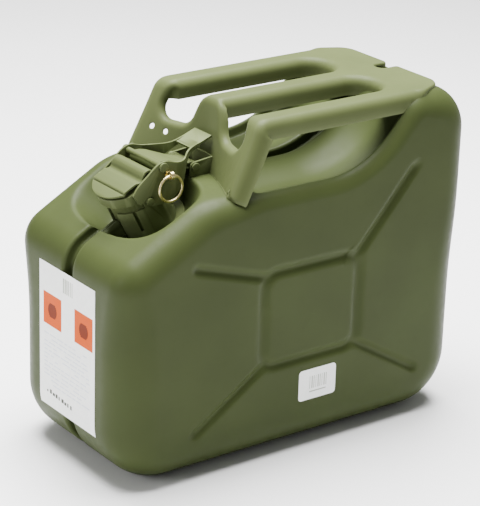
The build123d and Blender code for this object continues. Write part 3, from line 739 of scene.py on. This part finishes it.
def noise(tree, scale, detail=4.0, roughness=0.5):
    coords = node(tree, "ShaderNodeTexCoord")
    made = node(tree, "ShaderNodeTexNoise", Scale=scale, Detail=detail, Roughness=roughness)
    tree.links.new(coords.outputs["Object"], made.inputs["Vector"])
    return made.outputs["Fac"]


def ramp(tree, value, low, high, start, end):
    made = node(tree, "ShaderNodeMapRange")
    for key, number in (("From Min", low), ("From Max", high), ("To Min", start), ("To Max", end)):
        made.inputs[key].default_value = number
    tree.links.new(value, made.inputs["Value"])
    return made.outputs["Result"]


def mix(tree, factor, first, second):
    made = tree.nodes.new("ShaderNodeMix")
    made.data_type = "RGBA"
    for key, value in (("Factor", factor), ("A", first), ("B", second)):
        socket = made.inputs[key]
        if isinstance(value, bpy.types.NodeSocket):
            tree.links.new(value, socket)
        else:
            socket.default_value = value if isinstance(value, (int, float)) else (*value, 1.0)
    return made.outputs["Result"]


PAINT_SPECULAR, PRINT_SPECULAR = 0.06, 0.08


def enamel(name, base, roughness=0.40, peel=0.05):
    """Olive enamel on pressed steel: mottled tone, orange peel, and convex edges a little paler, partly rubbed
    wear and partly painted highlight.
    """
    mat, tree, shader = material(name)
    cloud = noise(tree, 14.0, 3.0)
    fine = noise(tree, 160.0, 5.0, 0.6)
    mottle = ramp(tree, cloud, 0.35, 0.65, 0.0, 1.0)
    tone = mix(tree, mottle, [c * 0.93 for c in base], [c * 1.07 for c in base])
    tone = mix(tree, ramp(tree, fine, 0.55, 0.80, 0.0, 0.18), tone, [c * 0.75 for c in base])
    geometry = node(tree, "ShaderNodeNewGeometry")
    # convex edges paler: partly rubbed wear, partly painted highlight
    edge_wear_and_highlight = ramp(tree, geometry.outputs["Pointiness"], 0.515, 0.60, 0.0, 0.55)
    tone = mix(tree, edge_wear_and_highlight, tone, [min(1, c * 1.7 + 0.02) for c in base])
    tree.links.new(tone, shader.inputs["Base Color"])
    tree.links.new(ramp(tree, fine, 0.3, 0.7, roughness - 0.05, roughness + 0.07), shader.inputs["Roughness"])
    bump = node(tree, "ShaderNodeBump", Strength=peel, Distance=0.0006)
    tree.links.new(noise(tree, 420.0, 2.0), bump.inputs["Height"])
    broad = node(tree, "ShaderNodeBump", Strength=0.10, Distance=0.004)
    tree.links.new(noise(tree, 22.0, 2.0), broad.inputs["Height"])
    tree.links.new(bump.outputs["Normal"], broad.inputs["Normal"])
    tree.links.new(broad.outputs["Normal"], shader.inputs["Normal"])
    shader.inputs["Specular IOR Level"].default_value = PAINT_SPECULAR
    return mat


def metal(name, base, roughness):
    mat, tree, shader = material(name)
    fine = noise(tree, 300.0, 4.0)
    tone = mix(tree, ramp(tree, fine, 0.3, 0.7, 0.0, 1.0), [c * 0.85 for c in base], base)
    tree.links.new(tone, shader.inputs["Base Color"])
    tree.links.new(ramp(tree, fine, 0.3, 0.7, roughness - 0.06, roughness + 0.1), shader.inputs["Roughness"])
    shader.inputs["Metallic"].default_value = 1.0
    return mat


def printed(name, base, roughness=0.6):
    """Print on label film, with a faint paper-like unevenness."""
    mat, tree, shader = material(name)
    fine = noise(tree, 240.0, 4.0)
    tone = mix(tree, ramp(tree, fine, 0.3, 0.7, 0.0, 1.0), [c * 0.94 for c in base], base)
    tree.links.new(tone, shader.inputs["Base Color"])
    tree.links.new(ramp(tree, noise(tree, 30.0), 0.3, 0.7, roughness - 0.08, roughness + 0.08),
                   shader.inputs["Roughness"])
    shader.inputs["Specular IOR Level"].default_value = PRINT_SPECULAR
    return mat


def rubber(name):
    mat, tree, shader = material(name)
    fine = noise(tree, 500.0, 3.0)
    tree.links.new(mix(tree, fine, (0.012, 0.012, 0.012), (0.03, 0.03, 0.03)), shader.inputs["Base Color"])
    tree.links.new(ramp(tree, fine, 0.3, 0.7, 0.6, 0.8), shader.inputs["Roughness"])
    return mat


# ---------------------------------------------------------------- camera, light and floor
CAMERA_AZIMUTH, CAMERA_ELEVATION, CAMERA_ROLL = -36.75, 21.40, 1.81
CAMERA_DISTANCE, CAMERA_TARGET, CAMERA_LENS, CAMERA_SENSOR = 1.8158, (0.0259, 0.0406, 0.1273), 151.2, 36.0
WORLD_STRENGTH, FLOOR_SIZE = 0.26, 8
LAMPS = (("top", (0.10, 0.25, 1.6), (0, 0, 0.1), 1.2, 180),
         ("front_left", (-1.7, 0.15, 0.8), (0, 0, 0.15), 0.7, 11))    # name, place, aim, size and power


def make_camera():
    azimuth, elevation, roll = (math.radians(a) for a in (CAMERA_AZIMUTH, CAMERA_ELEVATION, CAMERA_ROLL))
    back = Vector((math.sin(azimuth) * math.cos(elevation), -math.cos(azimuth) * math.cos(elevation),
                   math.sin(elevation)))
    right = (-back).cross(Vector((0, 0, 1))).normalized()
    up = right.cross(-back)
    right_rolled = right * math.cos(roll) + up * math.sin(roll)
    up_rolled = up * math.cos(roll) - right * math.sin(roll)
    turn = Matrix((right_rolled, up_rolled, back)).transposed()
    data = bpy.data.cameras.new("camera")
    data.lens, data.sensor_width = CAMERA_LENS, CAMERA_SENSOR
    camera = bpy.data.objects.new("camera", data)
    camera.matrix_world = Matrix.Translation(Vector(CAMERA_TARGET) + back * CAMERA_DISTANCE) @ turn.to_4x4()
    bpy.context.scene.collection.objects.link(camera)
    bpy.context.scene.camera = camera


def area_light(name, place, aim, size, power):
    data = bpy.data.lights.new(name, "AREA")
    data.shape, data.size, data.energy = "SQUARE", size, power
    lamp = bpy.data.objects.new(name, data)
    lamp.location = place
    lamp.rotation_euler = (Vector(aim) - Vector(place)).to_track_quat("-Z", "Y").to_euler()
    bpy.context.scene.collection.objects.link(lamp)


def make_studio():
    world = bpy.data.worlds.new("studio")
    world.use_nodes = True
    backdrop = world.node_tree.nodes["Background"]
    backdrop.inputs["Color"].default_value = (1.0, 1.0, 1.0, 1.0)
    backdrop.inputs["Strength"].default_value = WORLD_STRENGTH
    bpy.context.scene.world = world
    for lamp in LAMPS:
        area_light(*lamp)
    bpy.ops.mesh.primitive_plane_add(size=FLOOR_SIZE, location=(0, 0, 0))
    floor = bpy.context.object
    floor.name = "floor"
    mat, tree, shader = material("floor")
    tone = mix(tree, noise(tree, 3.0), (0.86, 0.86, 0.86), (0.90, 0.90, 0.90))
    tree.links.new(tone, shader.inputs["Base Color"])
    shader.inputs["Roughness"].default_value = 0.8
    floor.data.materials.append(mat)


# ---------------------------------------------------------------- build
OLIVE = (0.038, 0.049, 0.016)
# the can's olive paint made paler for the parts on top: painted top light, not a different paint
OLIVE_PAINTED_TOP_LIGHT = (0.068, 0.083, 0.031)
CAN_PAINT = enamel("can_enamel", OLIVE)
# enamel for the handle, cap, strap, lever and the other CAD nodes: the can's paint with painted top light
TOP_LIT_TRIM_PAINT = enamel("trim_enamel_painted_top_light", OLIVE_PAINTED_TOP_LIGHT)
STEEL = metal("plain_steel", (0.55, 0.55, 0.55), 0.35)
BRASS = metal("brass", (0.80, 0.68, 0.34), 0.30)
RUBBER = rubber("gasket_rubber")
LABEL_WHITE = printed("label_white", (0.93, 0.94, 0.92))
LABEL_ORANGE = printed("label_orange", (0.55, 0.075, 0.002))
LABEL_GREY = printed("label_grey", (0.34, 0.36, 0.30))
LABEL_FAINT = printed("label_faint", (0.70, 0.73, 0.78))
LABEL_BROWN = printed("label_brown", (0.14, 0.018, 0.003))
LABEL_DARK = printed("label_dark", (0.07, 0.075, 0.06))

# CAD nodes with rounded edges: node, width of the rounding, slot and body.
SOFTENED = (("lever", 0.35, "cap_paint", "lever"), ("lid", 0.5, "cap_paint", "lid"),
            ("lever_pin", 0.5, "pin_paint", "lever"), ("hinge_pin", 0.4, "pin_paint", "can"),
            ("hinge_bracket", 0.3, "handle_paint", "can"), ("neck_collar", 0.4, "neck_paint", "can"),
            ("neck_seat_ring", 0.5, "neck_paint", "can"))

make_camera()
make_studio()
make_shells(CAN_PAINT)
make_handle(TOP_LIT_TRIM_PAINT)
make_strap(TOP_LIT_TRIM_PAINT)
for name, width, slot, body in SOFTENED:
    soften(name, TOP_LIT_TRIM_PAINT, width, body)
make_front_label()
make_side_label()

NODE_PAINTS = {"plain_steel": STEEL, "gasket_rubber": RUBBER, "ring_brass": BRASS}
for entry in frame["record"]["subparts"]:
    target = frame["nodes"][entry["node"]]
    finish = NODE_PAINTS.get(entry["material_slot"], TOP_LIT_TRIM_PAINT)
    for place in target.material_slots:
        place.material = finish
